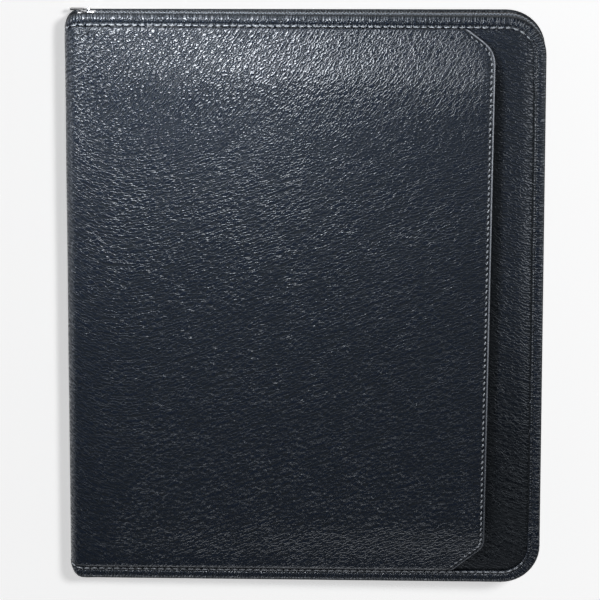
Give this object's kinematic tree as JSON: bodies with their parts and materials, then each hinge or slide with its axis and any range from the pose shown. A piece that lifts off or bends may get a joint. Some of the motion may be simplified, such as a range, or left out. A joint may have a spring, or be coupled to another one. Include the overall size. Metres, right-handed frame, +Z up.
{
  "type": "zippered padfolio",
  "caption": "Zip-round padfolio with padded leather covers, an outside slip pocket, a writing pad, pen loop and inner pockets; opens flat about its soft spine.",
  "frame": {"origin": "centre of the closed case's footprint, on the surface that the back cover lies on", "axes": "+X from the spine to the fore-edge, +Y from tail to head, +Z up through the front cover"},
  "size_m": [0.273, 0.3384, 0.0293],
  "materials": {
    "cover_leather": "pebbled navy-black leather, satin",
    "binding_leather": "folded leather binding, satin",
    "pocket_leather": "smooth leather, satin",
    "lining_fabric": "woven lining",
    "padding": "thin felted padding",
    "board": "grey board",
    "zipper_tape": "woven tape",
    "zipper_teeth": "moulded black nylon",
    "slider_metal": "nickel plate",
    "pull_metal": "black enamel",
    "pad_paper": "uncoated paper",
    "grey_card": "grey backing card",
    "head_strip": "coated paper strip",
    "elastic": "woven elastic",
    "clear_sheet": "clear vinyl"
  },
  "bodies": {
    "back_cover": {"back_leather": "cover_leather", "back_board": "board", "back_lining": "lining_fabric", "back_binding": "binding_leather", "back_zipper_tape": "zipper_tape", "back_zipper_teeth": "zipper_teeth", "back_end_stops": "slider_metal", "pad_pocket": "pocket_leather", "pad_backing_card": "grey_card", "pad_paper_block": "pad_paper", "pad_head_strip": "head_strip", "pen_loop": "elastic"},
    "spine": {"spine_leather": "cover_leather", "spine_padding": "padding", "spine_lining": "lining_fabric", "spine_end_bindings": "binding_leather"},
    "front_cover": {"front_leather": "cover_leather", "front_foam": "padding", "front_board": "board", "front_lining": "lining_fabric", "front_binding": "binding_leather", "front_zipper_tape": "zipper_tape", "front_zipper_teeth": "zipper_teeth", "front_end_stops": "slider_metal", "slip_pocket_panel": "cover_leather", "slip_pocket_lining": "lining_fabric", "document_pocket": "pocket_leather", "card_pocket_rear": "pocket_leather", "card_pocket_middle": "pocket_leather", "card_pocket_front": "pocket_leather", "window_pocket_frame": "pocket_leather", "window_pocket_sheet": "clear_sheet"},
    "slider": {"slider_body": "slider_metal", "slider_bail": "slider_metal"},
    "pull": {"pull_tab": "pull_metal"}
  },
  "joints": [
    {"name": "spine_hinge", "type": "hinge", "parent": "back_cover", "child": "spine", "pos_m": [-0.13474, 0, 0.00176], "axis": [0, -1, 0], "range_deg": [0, 90]},
    {"name": "cover_hinge", "type": "hinge", "parent": "spine", "child": "front_cover", "pos_m": [-0.1348, 0, 0.01455], "axis": [0, -1, 0], "range_deg": [0, 86.5]},
    {"name": "slider_travel", "type": "slide", "parent": "back_cover", "child": "slider", "axis": [0.9999, 0, 0.0146], "range_m": [0, 0.2321]},
    {"name": "pull_hinge", "type": "hinge", "parent": "slider", "child": "pull", "pos_m": [-0.12305, 0.16927, 0.00745], "axis": [0.0146, 0, -0.9999], "range_deg": [0, 165]}
  ],
  "couplings": [
    {"joint": "cover_hinge", "follows": "spine_hinge", "ratio": 0.96111}
  ]
}
